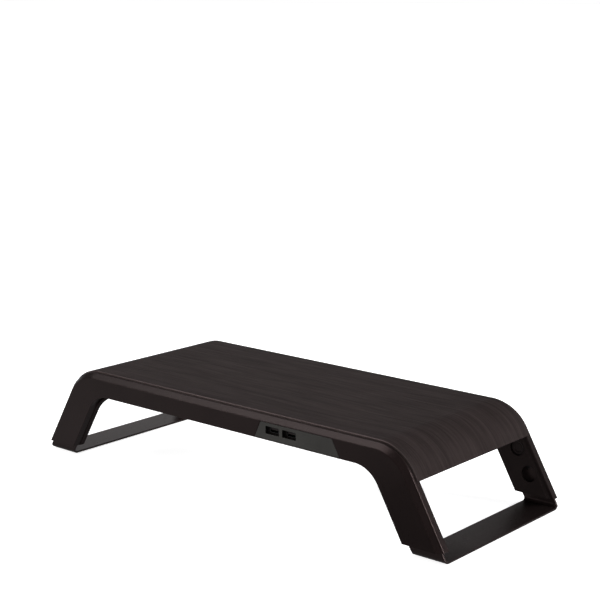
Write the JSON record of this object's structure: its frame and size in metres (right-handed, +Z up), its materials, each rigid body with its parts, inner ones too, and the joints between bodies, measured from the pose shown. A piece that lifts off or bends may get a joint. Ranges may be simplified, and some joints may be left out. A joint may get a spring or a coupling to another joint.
{
  "type": "monitor riser stand",
  "caption": "Low desk riser: bent wood-grain deck on two moulded arch frames, USB ports in the front rail, steel feet that slide out of the legs to raise it.",
  "frame": {"origin": "on the desk surface, midway between the feet and midway between the frames (bottom centre of the bounding box)", "axes": "+X along the deck to the viewer's right, -Y to the front with the USB ports, +Z up"},
  "size_m": [0.64, 0.25, 0.122],
  "materials": {
    "wood": "matte dark wood-grain laminate",
    "shell_plastic": "satin black moulded plastic",
    "cover_plastic": "matte black moulded plastic",
    "foot_steel": "black powder coat",
    "rail_steel": "black painted pressed steel",
    "rubber": "matte black rubber",
    "button_plastic": "satin black moulded plastic",
    "spring_steel": "blued spring steel",
    "fascia_plastic": "satin dark grey moulded plastic",
    "socket_metal": "black nickel plated pressed steel",
    "tongue_plastic": "black moulded plastic",
    "circuit_board": "green solder mask",
    "screw_steel": "blackened steel"
  },
  "bodies": {
    "stand": {"front_frame_shell": "shell_plastic", "front_frame_cover": "cover_plastic", "rear_frame_shell": "shell_plastic", "rear_frame_cover": "cover_plastic", "deck_panel": "wood", "cross_rail_left": "rail_steel", "cross_rail_centre": "rail_steel", "cross_rail_right": "rail_steel", "hub_fascia": "fascia_plastic", "hub_board": "circuit_board", "usb_socket_left": "socket_metal", "usb_tongue_left": "tongue_plastic", "usb_socket_right": "socket_metal", "usb_tongue_right": "tongue_plastic", "uplink_inlet": "socket_metal", "uplink_collar": "cover_plastic", "rail_screw_front_1": "screw_steel", "rail_screw_front_2": "screw_steel", "rail_screw_front_3": "screw_steel", "cover_screw_front_1": "screw_steel", "cover_screw_front_2": "screw_steel", "cover_screw_front_3": "screw_steel", "cover_screw_front_4": "screw_steel", "deck_screw_front_1": "screw_steel", "deck_screw_front_2": "screw_steel", "deck_screw_front_3": "screw_steel", "rail_screw_rear_1": "screw_steel", "rail_screw_rear_2": "screw_steel", "rail_screw_rear_3": "screw_steel", "cover_screw_rear_1": "screw_steel", "cover_screw_rear_2": "screw_steel", "cover_screw_rear_3": "screw_steel", "cover_screw_rear_4": "screw_steel", "deck_screw_rear_1": "screw_steel", "deck_screw_rear_2": "screw_steel", "deck_screw_rear_3": "screw_steel"},
    "foot_left": {"foot_left": "foot_steel", "foot_pad_left_front": "rubber", "latch_spring_left_front": "spring_steel", "spring_rivet_left_front": "screw_steel", "foot_pad_left_rear": "rubber", "latch_spring_left_rear": "spring_steel", "spring_rivet_left_rear": "screw_steel"},
    "lock_button_left_front": {"lock_button_left_front": "button_plastic"},
    "lock_button_left_rear": {"lock_button_left_rear": "button_plastic"},
    "foot_right": {"foot_right": "foot_steel", "foot_pad_right_front": "rubber", "latch_spring_right_front": "spring_steel", "spring_rivet_right_front": "screw_steel", "foot_pad_right_rear": "rubber", "latch_spring_right_rear": "spring_steel", "spring_rivet_right_rear": "screw_steel"},
    "lock_button_right_front": {"lock_button_right_front": "button_plastic"},
    "lock_button_right_rear": {"lock_button_right_rear": "button_plastic"}
  },
  "joints": [
    {"name": "foot_slide_left", "type": "slide", "parent": "stand", "child": "foot_left", "axis": [-0.5, 0, -0.866], "range_m": [0, 0.034]},
    {"name": "press_left_front", "type": "slide", "parent": "foot_left", "child": "lock_button_left_front", "axis": [0, -1, 0], "range_m": [0, 0.002], "stiffness_N_per_m": 600, "springref_m": -0.002, "deforming": ["latch_spring_left_front"]},
    {"name": "press_left_rear", "type": "slide", "parent": "foot_left", "child": "lock_button_left_rear", "axis": [0, 1, 0], "range_m": [0, 0.002], "stiffness_N_per_m": 600, "springref_m": -0.002, "deforming": ["latch_spring_left_rear"]},
    {"name": "foot_slide_right", "type": "slide", "parent": "stand", "child": "foot_right", "axis": [0.5, 0, -0.866], "range_m": [0, 0.034]},
    {"name": "press_right_front", "type": "slide", "parent": "foot_right", "child": "lock_button_right_front", "axis": [0, -1, 0], "range_m": [0, 0.002], "stiffness_N_per_m": 600, "springref_m": -0.002, "deforming": ["latch_spring_right_front"]},
    {"name": "press_right_rear", "type": "slide", "parent": "foot_right", "child": "lock_button_right_rear", "axis": [0, 1, 0], "range_m": [0, 0.002], "stiffness_N_per_m": 600, "springref_m": -0.002, "deforming": ["latch_spring_right_rear"]}
  ]
}
